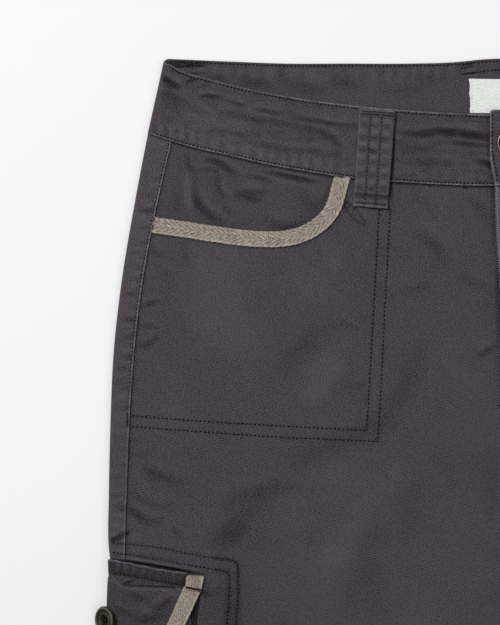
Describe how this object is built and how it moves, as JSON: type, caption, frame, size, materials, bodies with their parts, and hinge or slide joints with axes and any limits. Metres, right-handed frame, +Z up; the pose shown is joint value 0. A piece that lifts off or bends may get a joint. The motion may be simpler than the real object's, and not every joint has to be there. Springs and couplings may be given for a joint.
{
  "type": "capri cargo trousers",
  "caption": "Cotton capri cargo trousers laid flat, with a shaped waistband, taped scoop pockets, a lapped fly and buttoned cargo pockets round the side folds.",
  "frame": {"origin": "on the surface that the trousers lie on, below the middle of their bounding box", "axes": "+X across, towards the wearer's left; +Y up the length, towards the waist; +Z up from the surface, towards the viewer"},
  "size_m": [0.51, 0.7226, 0.0145],
  "materials": {
    "twill": "charcoal washed cotton twill",
    "tape": "taupe herringbone tape",
    "label": "white woven label, bare",
    "button": "dark antique"
  },
  "bodies": {
    "root": {"back_panel_right": "twill", "back_panel_left": "twill", "front_panel_right": "twill", "front_panel_left": "twill", "pocket_facing_right": "twill", "pocket_facing_left": "twill", "waistband_right": "twill", "waistband_left": "twill", "belt_loop_right": "twill", "belt_loop_left": "twill", "cargo_pocket_right": "twill", "cargo_pocket_left": "twill", "pocket_tape_right": "tape", "pocket_tape_left": "tape", "cargo_tape_right": "tape", "cargo_tape_left": "tape", "cargo_button_right": "button", "cargo_button_left": "button", "waist_button": "button", "label": "label"}
  },
  "joints": []
}
